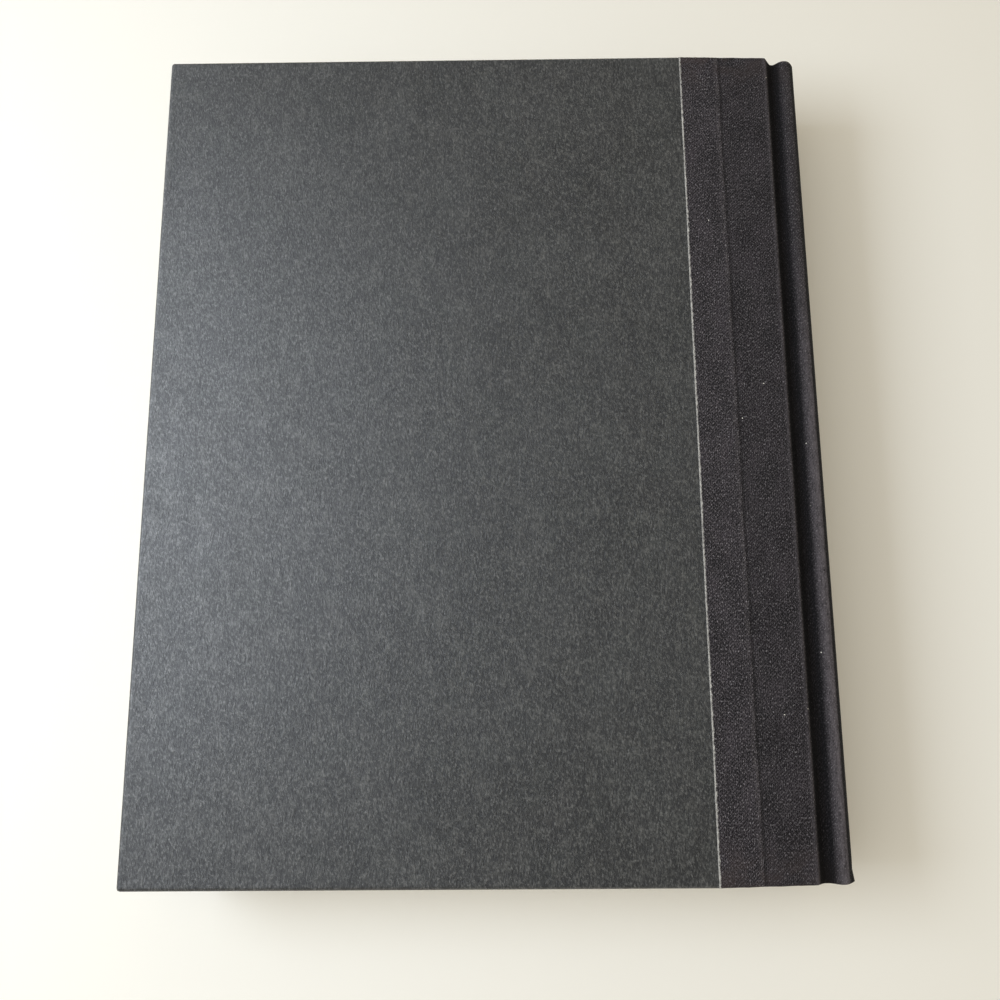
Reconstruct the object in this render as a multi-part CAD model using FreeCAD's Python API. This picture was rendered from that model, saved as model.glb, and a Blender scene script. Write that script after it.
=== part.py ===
import FreeCAD, Part

import math
import os

# A quarter-bound hardcover book with a rounded, backed spine, closed and lying on its front cover.
# Millimetres. X runs across the covers, from the fore-edge to the spine, Y from tail to head, and Z up.
# The sections below are drawn with x from the fore-edge and z from the middle of the pages. At the end each
# piece moves to the book's frame, whose origin is the middle of the book's footprint.
#
# Everything over the shoulders and the back is a layer between two curves that run at a constant distance,
# its offset, from the outside of the endpapers. The lower half of the book is the upper half mirrored.

# The pages
PAGE_HEIGHT = 254.0
PAGES_THICKNESS = 27.3
BACK_ROUND = 4.0  # how far the back swells beyond the shoulders' crests
SHOULDER_RISE = 2.0  # how far each shoulder stands above the flat of the pages
SHOULDER_TIP_RADIUS = 1.95

# The sheet materials
BOARD_THICKNESS = 2.5
PAPER_THICKNESS = 0.2  # the side papers
CLOTH_THICKNESS = 0.35
LEAF_THICKNESS = 0.15  # the endpapers
MULL_THICKNESS = 0.3
LINING_THICKNESS = 0.15
INLAY_THICKNESS = 0.35

# The covers
BOARD_WIDTH = 195.8
BOARD_EDGE_RADIUS = 0.8
SQUARE = 2.8  # how far the boards stand out beyond the pages at head, tail and fore-edge
JOINT_WIDTH = 7.0  # from the boards' inner edges to the shoulders' crests
GROOVE_RADIUS = 1.2  # the hollow at the foot of the shoulder, on the outside of the cloth
CLOTH_ON_BOARD = 27.9  # how far the cloth reaches onto the boards
PAPER_UNDER_CLOTH = 12.3  # how far the side papers run on beneath the cloth
TURN_IN = 15.0

# The back's linings and bands
MULL_SET_BACK = 2.0  # the mull's flanges stop this short of the cloth's edges
BAND_BEAD_RADIUS = 0.9
BAND_TAPE_THICKNESS = 0.15
BAND_TAPE_HEIGHT = 10.0

# Clearances
SPINE_HOLLOW = 0.25  # between the lining on the pages and the inlay in the cover's spine
MULL_END_GAP = 1.0  # between the mull's ends and the cloth's turn-ins
HINGE_GAP = 0.1  # where the covers' layers part from the spine's at the crests

# Worked out: offsets from the outside of the endpapers
CLOTH_OUTSIDE = (
    MULL_THICKNESS + LINING_THICKNESS + SPINE_HOLLOW + INLAY_THICKNESS + CLOTH_THICKNESS - LEAF_THICKNESS
)
CLOTH_INSIDE = CLOTH_OUTSIDE - CLOTH_THICKNESS
JOINT_LAYER = max(CLOTH_THICKNESS, MULL_THICKNESS)  # turn-ins and mull, between cloth and pastedown
PASTEDOWN_TOP = CLOTH_INSIDE - JOINT_LAYER
PASTEDOWN_BOTTOM = PASTEDOWN_TOP - LEAF_THICKNESS
SPINE_TURN_IN_BOTTOM = CLOTH_INSIDE - INLAY_THICKNESS - CLOTH_THICKNESS
MULL_TOP = MULL_THICKNESS - LEAF_THICKNESS

# Worked out: heights above the middle of the pages
FLAT_Z = PAGES_THICKNESS / 2 + LEAF_THICKNESS
BOARD_Z = FLAT_Z + CLOTH_INSIDE
BOARD_TOP_Z = BOARD_Z + BOARD_THICKNESS
STACK_HALF = BOARD_TOP_Z + PAPER_THICKNESS + CLOTH_THICKNESS

# Worked out: distances from the fore-edge, and half lengths from the middle of the book's height
BOARD_INNER_X = PAPER_THICKNESS + BOARD_WIDTH
CREST_X = BOARD_INNER_X + JOINT_WIDTH
CLOTH_EDGE_X = BOARD_INNER_X - CLOTH_ON_BOARD
PAPER_EDGE_X = CLOTH_EDGE_X + PAPER_UNDER_CLOTH
PAGE_FORE_X = PAPER_THICKNESS + SQUARE
OVERALL_WIDTH = CREST_X + BACK_ROUND + CLOTH_OUTSIDE
PAGE_HALF = PAGE_HEIGHT / 2
BOARD_HALF = PAGE_HALF + SQUARE
CLOTH_HALF = BOARD_HALF + CLOTH_THICKNESS
CLOTH_TURN_HALF = CLOTH_HALF - TURN_IN
PAPER_HALF = BOARD_HALF + PAPER_THICKNESS
PAPER_TURN_HALF = PAPER_HALF - TURN_IN
MULL_HALF = CLOTH_TURN_HALF - MULL_END_GAP

# Worked out: the shoulder is a hollow foot arc that runs on into a round tip, both turning by SLOPE
FOOT_RADIUS = CLOTH_OUTSIDE + GROOVE_RADIUS
SLOPE = math.degrees(math.acos(1 - SHOULDER_RISE / (FOOT_RADIUS + SHOULDER_TIP_RADIUS)))
FOOT_X = CREST_X - (FOOT_RADIUS + SHOULDER_TIP_RADIUS) * math.sin(math.radians(SLOPE))
FOOT_CENTRE = (FOOT_X, FLAT_Z + FOOT_RADIUS)
TIP_CENTRE = (CREST_X, FLAT_Z + SHOULDER_RISE - SHOULDER_TIP_RADIUS)
TIP_CUT = 90 + math.degrees(HINGE_GAP / (SHOULDER_TIP_RADIUS + CLOTH_OUTSIDE))

# Worked out: the back is one arc, tangent to both tips and BACK_ROUND beyond them
BACK_RADIUS = (BACK_ROUND**2 + TIP_CENTRE[1] ** 2 - SHOULDER_TIP_RADIUS**2) / (
    2 * (BACK_ROUND - SHOULDER_TIP_RADIUS)
)
BACK_CENTRE = (CREST_X + BACK_ROUND - BACK_RADIUS, 0.0)
BACK_ANGLE = math.degrees(math.asin(TIP_CENTRE[1] / (BACK_RADIUS - SHOULDER_TIP_RADIUS)))

MIDDLE = FreeCAD.Vector(0, 0, 0)
UP = FreeCAD.Vector(0, 0, 1)
TOWARDS_HEAD = FreeCAD.Vector(0, 1, 0)
SAME_PLACE = 1e-6


def point(x, z):
    return FreeCAD.Vector(x, 0, z)


def line(start, end):
    return Part.LineSegment(start, end).toShape()


def arc(centre, radius, start, end):
    """An arc about centre between two angles, in degrees from +X towards +Z."""
    angles = (math.radians(a) for a in (start, (start + end) / 2, end))
    on_arc = [point(centre[0] + radius * math.cos(a), centre[1] + radius * math.sin(a)) for a in angles]
    return Part.Arc(*on_arc).toShape()


def mirrored(shapes):
    """The same shapes in the lower half, in the opposite order so that a run of edges stays joined."""
    return [shape.mirror(MIDDLE, UP) for shape in reversed(shapes)]


def extruded(edges, half_length):
    """The closed section carried from -half_length to half_length along the book's height."""
    face = Part.Face(Part.Wire(Part.sortEdges(edges)[0]))
    face.translate(-half_length * TOWARDS_HEAD)
    return face.extrude(2 * half_length * TOWARDS_HEAD)


def box(x_low, x_high, half_length, z_low, z_high):
    corner = FreeCAD.Vector(x_low, -half_length, z_low)
    return Part.makeBox(x_high - x_low, 2 * half_length, z_high - z_low, corner)


def shoulder(offset, x_start, last_angle=TIP_CUT):
    """Edges along the flat from x_start, up the foot and over the tip, at an offset."""
    flat = line(point(x_start, FLAT_Z + offset), point(FOOT_X, FLAT_Z + offset))
    foot = arc(FOOT_CENTRE, FOOT_RADIUS - offset, -90, SLOPE - 90)
    tip = arc(TIP_CENTRE, SHOULDER_TIP_RADIUS + offset, 90 + SLOPE, last_angle)
    return [flat, foot, tip]


def back_arc(offset):
    return arc(BACK_CENTRE, BACK_RADIUS + offset, BACK_ANGLE, -BACK_ANGLE)


def round_back(offset):
    """Edges from the upper crest round the back to the lower one, at an offset."""
    tip = arc(TIP_CENTRE, SHOULDER_TIP_RADIUS + offset, 90, BACK_ANGLE)
    return [tip, back_arc(offset)] + mirrored([tip])


def layer(run, low, high, half_length, *more):
    """The solid between one run of edges at two offsets, extruded."""
    inner = run(low, *more)
    outer = run(high, *more)
    starts = line(inner[0].firstVertex(True).Point, outer[0].firstVertex(True).Point)
    ends = line(last_point(inner), last_point(outer))
    return extruded(inner + outer + [starts, ends], half_length)


def last_point(edges):
    """The free end of a run of edges: the end of its last edge that its other edges don't touch."""
    ends = [vertex.Point for vertex in edges[-1].Vertexes]
    if len(edges) == 1:
        return ends[-1]
    before = [vertex.Point for vertex in edges[-2].Vertexes]
    return next(end for end in ends if all(end.distanceToPoint(p) > SAME_PLACE for p in before))


def spine_strip(low, high, half_length):
    """A layer over the back's arc only, between the two shoulders."""
    return layer(lambda offset: [back_arc(offset)], low, high, half_length)


def slab(x_low, x_high, half_length, z_low, z_high, radius, fore_edge=False, inner_edge=False):
    """A cover-shaped box whose outer edges are rounded at head and tail, and on the sides asked for."""
    block = box(x_low, x_high, half_length, z_low, z_high)

    def is_rounded(edge):
        centre = edge.CenterOfMass
        on_top = abs(centre.z - z_high) < SAME_PLACE
        on_fore_edge = fore_edge and abs(centre.x - x_low) < SAME_PLACE
        at_end = abs(abs(centre.y) - half_length) < SAME_PLACE
        on_inner_edge = inner_edge and abs(centre.x - x_high) < SAME_PLACE
        if on_top:
            return on_fore_edge or at_end or on_inner_edge
        return on_fore_edge and at_end

    return block.makeFillet(radius, [edge for edge in block.Edges if is_rounded(edge)])


def text_block():
    """The pages: flat faces, two shoulders, a round back, and a fore-edge as hollow as the back is round."""
    flat_z = FLAT_Z - LEAF_THICKNESS
    upper = shoulder(-LEAF_THICKNESS, PAGE_FORE_X, 90)
    fore_edge = Part.Arc(
        point(PAGE_FORE_X, -flat_z), point(PAGE_FORE_X + BACK_ROUND, 0), point(PAGE_FORE_X, flat_z)
    ).toShape()
    return extruded(upper + round_back(-LEAF_THICKNESS) + mirrored(upper) + [fore_edge], PAGE_HALF)


def flyleaf():
    """The free half of an endpaper, on the pages as far as the crest, where the sheet folds."""
    return layer(shoulder, -LEAF_THICKNESS, 0, PAGE_HALF, PAGE_FORE_X, 90)


def mull():
    return layer(round_back, -LEAF_THICKNESS, MULL_TOP, MULL_HALF)


def spine_lining():
    return spine_strip(MULL_TOP, MULL_TOP + LINING_THICKNESS, MULL_HALF)


def spine_inlay():
    return spine_strip(CLOTH_INSIDE - INLAY_THICKNESS, CLOTH_INSIDE, BOARD_HALF)


def spine_cloth():
    """The cloth over the back, turned in round the inlay at head and tail."""
    folded = layer(round_back, SPINE_TURN_IN_BOTTOM, CLOTH_OUTSIDE, CLOTH_HALF)
    turn_in_top = SPINE_TURN_IN_BOTTOM + CLOTH_THICKNESS
    inlay_room = layer(round_back, turn_in_top, CLOTH_INSIDE, BOARD_HALF)
    between_turn_ins = layer(round_back, SPINE_TURN_IN_BOTTOM, turn_in_top, CLOTH_TURN_HALF)
    return folded.cut([inlay_room, between_turn_ins])


def head_band():
    """A corded bead on the head of the pages, with its tape glued down the back."""
    back_radius = BACK_RADIUS - LEAF_THICKNESS
    axis_point = point(BACK_CENTRE[0], BACK_CENTRE[1])
    tape_x = BACK_CENTRE[0] + back_radius
    tape_corner = FreeCAD.Vector(tape_x, PAGE_HALF - BAND_TAPE_HEIGHT, 0)
    tape = Part.makePlane(BAND_TAPE_THICKNESS, BAND_TAPE_HEIGHT + BAND_BEAD_RADIUS, tape_corner, UP)
    bead_x = tape_x + BAND_TAPE_THICKNESS - BAND_BEAD_RADIUS
    bead_centre = FreeCAD.Vector(bead_x, PAGE_HALF + BAND_BEAD_RADIUS, 0)
    bead = Part.Face(Part.Wire(Part.makeCircle(BAND_BEAD_RADIUS, bead_centre, UP)))
    carried = []
    for section in (tape, bead):
        section.rotate(axis_point, TOWARDS_HEAD, -BACK_ANGLE)
        carried.append(section.revolve(axis_point, TOWARDS_HEAD, 2 * BACK_ANGLE))
    return carried[0].fuse(carried[1]).removeSplitter()


def board():
    return slab(
        PAPER_THICKNESS, BOARD_INNER_X, BOARD_HALF, BOARD_Z, BOARD_TOP_Z, BOARD_EDGE_RADIUS, True, True
    )


def side_paper():
    """The paper over a board, turned in at head, tail and fore-edge, and cut off beneath the cloth."""
    low = BOARD_Z - PAPER_THICKNESS
    wrap = slab(
        0, PAPER_EDGE_X, PAPER_HALF, low, BOARD_TOP_Z + PAPER_THICKNESS,
        BOARD_EDGE_RADIUS + PAPER_THICKNESS, fore_edge=True,
    )
    between_turn_ins = box(TURN_IN, PAPER_EDGE_X, PAPER_TURN_HALF, low, BOARD_Z)
    cloth_turn_in = box(CLOTH_EDGE_X, PAPER_EDGE_X, PAPER_HALF, low, BOARD_Z)
    return wrap.cut([board(), between_turn_ins, cloth_turn_in])


def joint_cloth():
    """The cloth over a board's inner part and down its groove to the crest, turned in at head and tail."""
    over_board = slab(
        CLOTH_EDGE_X, BOARD_INNER_X + CLOTH_THICKNESS, CLOTH_HALF, BOARD_Z - CLOTH_THICKNESS,
        BOARD_TOP_Z + CLOTH_THICKNESS, BOARD_EDGE_RADIUS + CLOTH_THICKNESS, inner_edge=True,
    )
    over_paper = slab(
        CLOTH_EDGE_X, PAPER_EDGE_X + CLOTH_THICKNESS, PAPER_HALF + CLOTH_THICKNESS,
        BOARD_Z - CLOTH_THICKNESS, STACK_HALF, BOARD_EDGE_RADIUS + PAPER_THICKNESS + CLOTH_THICKNESS,
    )
    turn_in_bottom = CLOTH_INSIDE - CLOTH_THICKNESS
    in_groove = layer(shoulder, turn_in_bottom, CLOTH_OUTSIDE, CLOTH_HALF, BOARD_INNER_X)
    between_turn_ins = layer(shoulder, turn_in_bottom, CLOTH_INSIDE, CLOTH_TURN_HALF, CLOTH_EDGE_X)
    return over_board.fuse([over_paper, in_groove]).cut([board(), side_paper(), between_turn_ins])


def mull_flange():
    """The mull that runs on from the back, under the cloth of the joint and onto the board."""
    edge_x = CLOTH_EDGE_X + MULL_SET_BACK
    return layer(shoulder, CLOTH_INSIDE - MULL_THICKNESS, CLOTH_INSIDE, MULL_HALF, edge_x)


def pastedown():
    """The pasted half of an endpaper, over the paper's turn-ins, the board, and the joint to the crest."""
    low = BOARD_Z - PAPER_THICKNESS - LEAF_THICKNESS
    over_turn_ins = box(PAGE_FORE_X, CLOTH_EDGE_X, PAGE_HALF, low, BOARD_Z)
    sunk_middle = box(
        TURN_IN + LEAF_THICKNESS, CLOTH_EDGE_X - LEAF_THICKNESS, PAPER_TURN_HALF - LEAF_THICKNESS,
        low, BOARD_Z - LEAF_THICKNESS,
    )
    step = box(
        CLOTH_EDGE_X - LEAF_THICKNESS, CLOTH_EDGE_X, PAGE_HALF, FLAT_Z + PASTEDOWN_BOTTOM, BOARD_Z
    )
    in_joint = layer(shoulder, PASTEDOWN_BOTTOM, PASTEDOWN_TOP, PAGE_HALF, CLOTH_EDGE_X)
    sheet = over_turn_ins.cut(sunk_middle).fuse([step, in_joint])
    return sheet.cut(side_paper()).removeSplitter()


def pieces():
    """Every piece by name, with x from the fore-edge and z from the middle of the pages."""
    made = {
        "text_block": text_block(),
        "mull": mull(),
        "spine_lining": spine_lining(),
        "spine_inlay": spine_inlay(),
        "spine_cloth": spine_cloth(),
        "head_band": head_band(),
    }
    made["tail_band"] = made["head_band"].mirror(MIDDLE, TOWARDS_HEAD)
    upper = {
        "board": board(),
        "side_paper": side_paper(),
        "joint_cloth": joint_cloth(),
        "mull_flange": mull_flange(),
        "pastedown": pastedown(),
        "flyleaf": flyleaf(),
    }
    for name, shape in upper.items():
        made["back_" + name] = shape
        made["front_" + name] = shape.mirror(MIDDLE, UP)
    return made


os.makedirs("parts", exist_ok=True)
for node, piece in pieces().items():
    piece.translate(FreeCAD.Vector(-OVERALL_WIDTH / 2, 0, STACK_HALF))
    piece.exportStep("parts/" + node + ".step")
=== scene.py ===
import math

import bmesh
import bpy
import numpy as np
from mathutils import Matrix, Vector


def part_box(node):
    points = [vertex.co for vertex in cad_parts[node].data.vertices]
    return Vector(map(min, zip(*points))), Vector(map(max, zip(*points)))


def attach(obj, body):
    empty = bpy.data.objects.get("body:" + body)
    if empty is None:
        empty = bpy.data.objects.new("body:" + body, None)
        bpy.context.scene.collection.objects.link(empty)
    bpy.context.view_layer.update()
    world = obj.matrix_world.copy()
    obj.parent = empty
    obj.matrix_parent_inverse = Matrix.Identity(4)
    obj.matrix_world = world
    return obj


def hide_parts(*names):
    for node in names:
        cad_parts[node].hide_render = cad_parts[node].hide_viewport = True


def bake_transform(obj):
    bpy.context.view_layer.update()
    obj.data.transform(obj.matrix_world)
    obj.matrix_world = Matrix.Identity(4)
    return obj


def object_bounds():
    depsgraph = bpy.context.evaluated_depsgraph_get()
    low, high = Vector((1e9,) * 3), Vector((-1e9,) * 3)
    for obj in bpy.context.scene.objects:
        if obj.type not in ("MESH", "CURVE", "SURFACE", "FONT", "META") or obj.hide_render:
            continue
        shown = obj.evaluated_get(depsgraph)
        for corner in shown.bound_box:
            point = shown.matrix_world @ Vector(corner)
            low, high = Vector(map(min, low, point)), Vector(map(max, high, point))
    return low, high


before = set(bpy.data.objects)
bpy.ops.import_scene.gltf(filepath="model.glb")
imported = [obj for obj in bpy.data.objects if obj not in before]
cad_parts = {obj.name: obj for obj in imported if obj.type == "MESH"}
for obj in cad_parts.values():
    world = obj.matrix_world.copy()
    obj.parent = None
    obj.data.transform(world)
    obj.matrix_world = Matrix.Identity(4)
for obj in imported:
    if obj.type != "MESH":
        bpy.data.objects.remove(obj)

# A quarter-bound book with a rounded back, lying on its front cover: charcoal paper sides, and a dark cloth
# back that runs over both joints and onto the boards. Metres. The upper half of the book is worked out as
# heights above the middle of the pages, and the lower half is the same thing mirrored.

CAD_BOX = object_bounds()
MM = 0.001

# Sizes read from the frame
BOARD_LOW, BOARD_HIGH = (np.array(c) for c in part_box("back_board"))
PAPER_LOW, PAPER_HIGH = (np.array(c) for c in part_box("back_side_paper"))
CLOTH_LOW = np.array(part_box("back_joint_cloth")[0])
SPINE_LOW, SPINE_HIGH = (np.array(c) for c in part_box("spine_cloth"))
LEAF_LOW, LEAF_HIGH = (np.array(c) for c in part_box("back_flyleaf"))
BAND_LOW, BAND_HIGH = (np.array(c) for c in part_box("head_band"))
MIDDLE_Z = (CAD_BOX[0][2] + CAD_BOX[1][2]) / 2

# Sizes of the sheets and of the curves that the boxes don't give, as the construction has them
LEAF = 0.15 * MM
TIP_RADIUS = 1.95 * MM
GROOVE_RADIUS = 1.2 * MM
BOARD_EDGE_RADIUS = 0.8 * MM
TURN_IN = 15 * MM
INLAY = 0.35 * MM
BAND_TAPE = 0.15 * MM
BAND_BEAD = 0.9 * MM

# Worked out from those: heights above the middle of the pages, and offsets from the endpapers' outside
FLAT = LEAF_LOW[2] + LEAF - MIDDLE_Z
RISE = LEAF_HIGH[2] - MIDDLE_Z - FLAT
CREST_X = SPINE_LOW[0]
CLOTH_OUTSIDE = SPINE_HIGH[2] - LEAF_HIGH[2]
BOARD_UNDER = BOARD_LOW[2] - MIDDLE_Z
BOARD_TOP = BOARD_HIGH[2] - MIDDLE_Z
CLOTH = CLOTH_OUTSIDE - (BOARD_UNDER - FLAT)
PAPER = PAPER_HIGH[2] - BOARD_HIGH[2]
BACK_ROUND = SPINE_HIGH[0] - CREST_X - CLOTH_OUTSIDE
PASTEDOWN_UNDER = CLOTH_OUTSIDE - 2 * CLOTH - LEAF
SPINE_FOLD_UNDER = CLOTH_OUTSIDE - 2 * CLOTH - INLAY
PAGE_HALF = LEAF_HIGH[1]
PAGE_FORE_X = LEAF_LOW[0]
CLOTH_HALF = SPINE_HIGH[1]

# Worked out: the foot and tip arcs of the shoulder, and the arc of the back
FOOT_RADIUS = CLOTH_OUTSIDE + GROOVE_RADIUS
SLOPE = math.acos(1 - RISE / (FOOT_RADIUS + TIP_RADIUS))
FOOT_X = CREST_X - (FOOT_RADIUS + TIP_RADIUS) * math.sin(SLOPE)
TIP_Z = FLAT + RISE - TIP_RADIUS
BACK_RADIUS = (BACK_ROUND**2 + TIP_Z**2 - TIP_RADIUS**2) / (2 * (BACK_ROUND - TIP_RADIUS))
BACK_X = CREST_X + BACK_ROUND - BACK_RADIUS
BACK_ANGLE = math.asin(TIP_Z / (BACK_RADIUS - TIP_RADIUS))

# How the sheets lie
EDGE_BAND = 0.42 * MM  # the cloth's cut edge, where its pale backing shows
STEP_LENGTH = 1.1 * MM  # to either side of the side paper's edge, where the cloth comes down off it
STEP_BEAD = 0.05 * MM  # the small ridge of glue along that edge
GROOVE_FILLET = 0.8 * MM
WALL_LEAN = 0.9 * MM  # how far the cloth bridges from the board's edge to the groove's floor
TAPER = 0.75 * MM  # how far each end of a board has drawn in by its inner edge
FOLD_RADIUS = 0.3 * MM
LEAF_RIM = 0.05 * MM  # the last narrow strip of an endpaper, before its cut edge
LEAVES = 270
SECTION_LEAVES = 16  # in one folded section
SECTIONS = LEAVES // SECTION_LEAVES + 1
BAND_TURNS = 64  # of thread, from one end of a band to the other
STRIP_STOPS = 40  # places along a strip that is bent round the back
CARD_SHORT = 0.9 * MM  # how much further the card stays back at the head
CLOTH_BEND = (-0.9 * MM, 0.5 * MM)  # where the cloth's bend starts and ends, measured from the crest
TABLE_GAP = 1.7 * MM  # how far below the book the table lies, so that the opened front cover stays in view


# ---- Curves ----


def run(start, end, count):
    """Evenly spaced points on the line from start to end, both included."""
    t = np.linspace(0, 1, count)[:, None]
    return np.array(start) * (1 - t) + np.array(end) * t


def arc(x, z, radius, first, last, count):
    """Points on a circle about (x, z), at angles from first to last. The radius may change along it."""
    angle = np.linspace(first, last, count)
    return np.stack([x + radius * np.cos(angle), z + radius * np.sin(angle)], axis=-1)


def joined(*stretches):
    """The stretches one after another, leaving out each one's first point, which ends the one before."""
    return np.concatenate([stretches[0]] + [s[1:] for s in stretches[1:]])


def shoulder(offset, start_x, flat_count, arc_count):
    """The flat from start_x, the hollow foot and the round tip, at an offset outside the endpapers."""
    return joined(
        run((start_x, FLAT + offset), (FOOT_X, FLAT + offset), flat_count),
        arc(FOOT_X, FLAT + FOOT_RADIUS, FOOT_RADIUS - offset, -math.pi / 2, SLOPE - math.pi / 2, arc_count),
        arc(CREST_X, TIP_Z, TIP_RADIUS + offset, math.pi / 2 + SLOPE, math.pi / 2, arc_count),
    )


def smooth(t):
    """0 below 0, 1 above 1, and a cubic ease between."""
    t = np.clip(t, 0, 1)
    return t * t * (3 - 2 * t)


def bell(distance, width):
    """1 where the distance is 0, falling as exp(-(distance / width) squared)."""
    return np.exp(-((distance / width) ** 2))


def shortening(x):
    """How much each end of the cover draws in towards the groove, from the cloth's edge to the board's."""
    return TAPER * np.clip((x - CLOTH_LOW[0]) / (BOARD_HIGH[0] - CLOTH_LOW[0]), 0, 1)


def squareness(y):
    """How far the board's inner edge stands out towards the groove: more at the head than at the tail."""
    return 0.4 * MM + 0.35 * MM * y / CLOTH_HALF


def ripple(at, seed, longest, amplitude):
    """A smooth random line: five sines of falling length and height, with seeded phases."""
    random = np.random.default_rng(seed)
    total = np.zeros_like(at, dtype=float)
    for step in range(5):
        length = longest / 1.9**step
        total += np.sin(2 * math.pi * (at / length + random.random())) / 1.6**step
    return amplitude * total / 2


def in_order(*groups):
    """All the values in order, leaving out any that all but falls on the one before it."""
    values = np.sort(np.concatenate(groups))
    return values[np.concatenate([[True], np.diff(values) > 0.03 * MM])]


def arc_lengths(points):
    """Distance along a run of points from its first."""
    steps = np.linalg.norm(np.diff(points, axis=0), axis=1)
    return np.concatenate([[0.0], np.cumsum(steps)])


# ---- Meshes ----


def grid_faces(rows, columns, first=0, looped=False):
    """Quads over a grid of rows by columns of points, closed across the columns if looped."""
    stops = columns if looped else columns - 1
    row, column = np.meshgrid(np.arange(rows - 1), np.arange(stops), indexing="ij")
    this, after = row * columns, (column + 1) % columns
    corners = [this + column, this + after, this + columns + after, this + columns + column]
    return np.stack(corners, axis=-1).reshape(-1, 4) + first


def merge_doubles(mesh, outwards=False):
    """Joins the points that fall on one another, and turns a closed mesh's faces outwards."""
    work = bmesh.new()
    work.from_mesh(mesh)
    bmesh.ops.remove_doubles(work, verts=work.verts, dist=1e-7)
    if outwards:
        bmesh.ops.recalc_face_normals(work, faces=work.faces)
    work.to_mesh(mesh)
    work.free()


def make_piece(name, grids, uvs=None, closed=False, flip=False):
    """One smooth object from grids of points, each (points, looped). Closed ones get outward faces."""
    points, faces, first = [], [], 0
    for grid, looped in grids:
        rows, columns = grid.shape[:2]
        points.append(grid.reshape(-1, 3))
        faces.append(grid_faces(rows, columns, first, looped))
        first += rows * columns
    points, faces = np.concatenate(points), np.concatenate(faces)
    if flip:
        faces = faces[:, ::-1]
    mesh = bpy.data.meshes.new(name)
    mesh.from_pydata(points.tolist(), [], faces.tolist())
    if uvs is not None:
        corners = np.empty(len(mesh.loops), dtype=np.int32)
        mesh.loops.foreach_get("vertex_index", corners)
        layer = mesh.uv_layers.new(name="UVMap")
        flat = np.concatenate([uv.reshape(-1, 2) for uv in uvs])
        layer.data.foreach_set("uv", flat[corners].astype(np.float32).ravel())
    if closed:
        merge_doubles(mesh, outwards=True)
    mesh.polygons.foreach_set("use_smooth", np.ones(len(mesh.polygons), dtype=bool))
    mesh.update()
    piece = bpy.data.objects.new(name, mesh)
    bpy.context.collection.objects.link(piece)
    return piece


def thickened(piece, thickness):
    """The sheet with its thickness, grown inwards from the faces' outside."""
    solid = piece.modifiers.new("thickness", "SOLIDIFY")
    solid.thickness = thickness
    solid.offset = -1
    solid.use_rim = True
    solid.use_even_offset = False
    return piece


def sharp_edges(piece, degrees):
    """Corners sharper than this stay crisp."""
    piece.data.set_sharp_from_angle(angle=math.radians(degrees))
    return piece


def placed(x, y, z, side):
    """Points from the section's x and height and the book's y, on the upper (1) or lower (-1) side."""
    x, y, z = np.broadcast_arrays(x, y, z)
    return np.stack([x, y, MIDDLE_Z + side * z], axis=-1)


def bent_strip(radii, ends, reach=1.0):
    """A thin box bent round a share of the back's arc, as a loop of four corners, each with its radius and
    its y, and the two caps that close it."""
    bend = np.linspace(-BACK_ANGLE, BACK_ANGLE, STRIP_STOPS)[:, None] * reach
    box = placed(BACK_X + radii * np.cos(bend), ends + 0 * bend, radii * np.sin(bend), 1)
    return [(box, True)] + [(box[row][[0, 1, 3, 2]].reshape(2, 2, 3), False) for row in (0, -1)]


# ---- Shader maths ----


class Value:
    """A shader socket that takes part in arithmetic: each operator adds one Math node."""

    def __init__(self, nodes, socket):
        self.nodes, self.socket = nodes, socket

    def maths(self, operation, *values):
        return self.nodes.node("ShaderNodeMath", {"operation": operation}, dict(enumerate(values)))

    def __add__(self, other):
        return self.maths("ADD", self, other)

    def __sub__(self, other):
        return self.maths("SUBTRACT", self, other)

    def __rsub__(self, other):
        return self.maths("SUBTRACT", other, self)

    def __mul__(self, other):
        return self.maths("MULTIPLY", self, other)

    def output(self, name):
        """Another output of the node that this value comes from."""
        return Value(self.nodes, self.socket.node.outputs[name])

    def between(self, low, high):
        """0 at low, 1 at high, eased and held outside."""
        ends = {"Value": self, "From Min": low, "From Max": high}
        return self.nodes.node("ShaderNodeMapRange", {"interpolation_type": "SMOOTHSTEP"}, ends)

    def around(self, place, *steps):
        """1 between the middle two of four steps from a place, in millimetres, eased to 0 at the others."""
        start, full, fading, end = (place + step * MM for step in steps)
        return self.between(start, full) * self.between(end, fading)

    def sine(self):
        return self.maths("SINE", self)

    def size(self):
        """The value without its sign."""
        return self.maths("ABSOLUTE", self)

    __radd__ = __add__
    __rmul__ = __mul__


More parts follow.
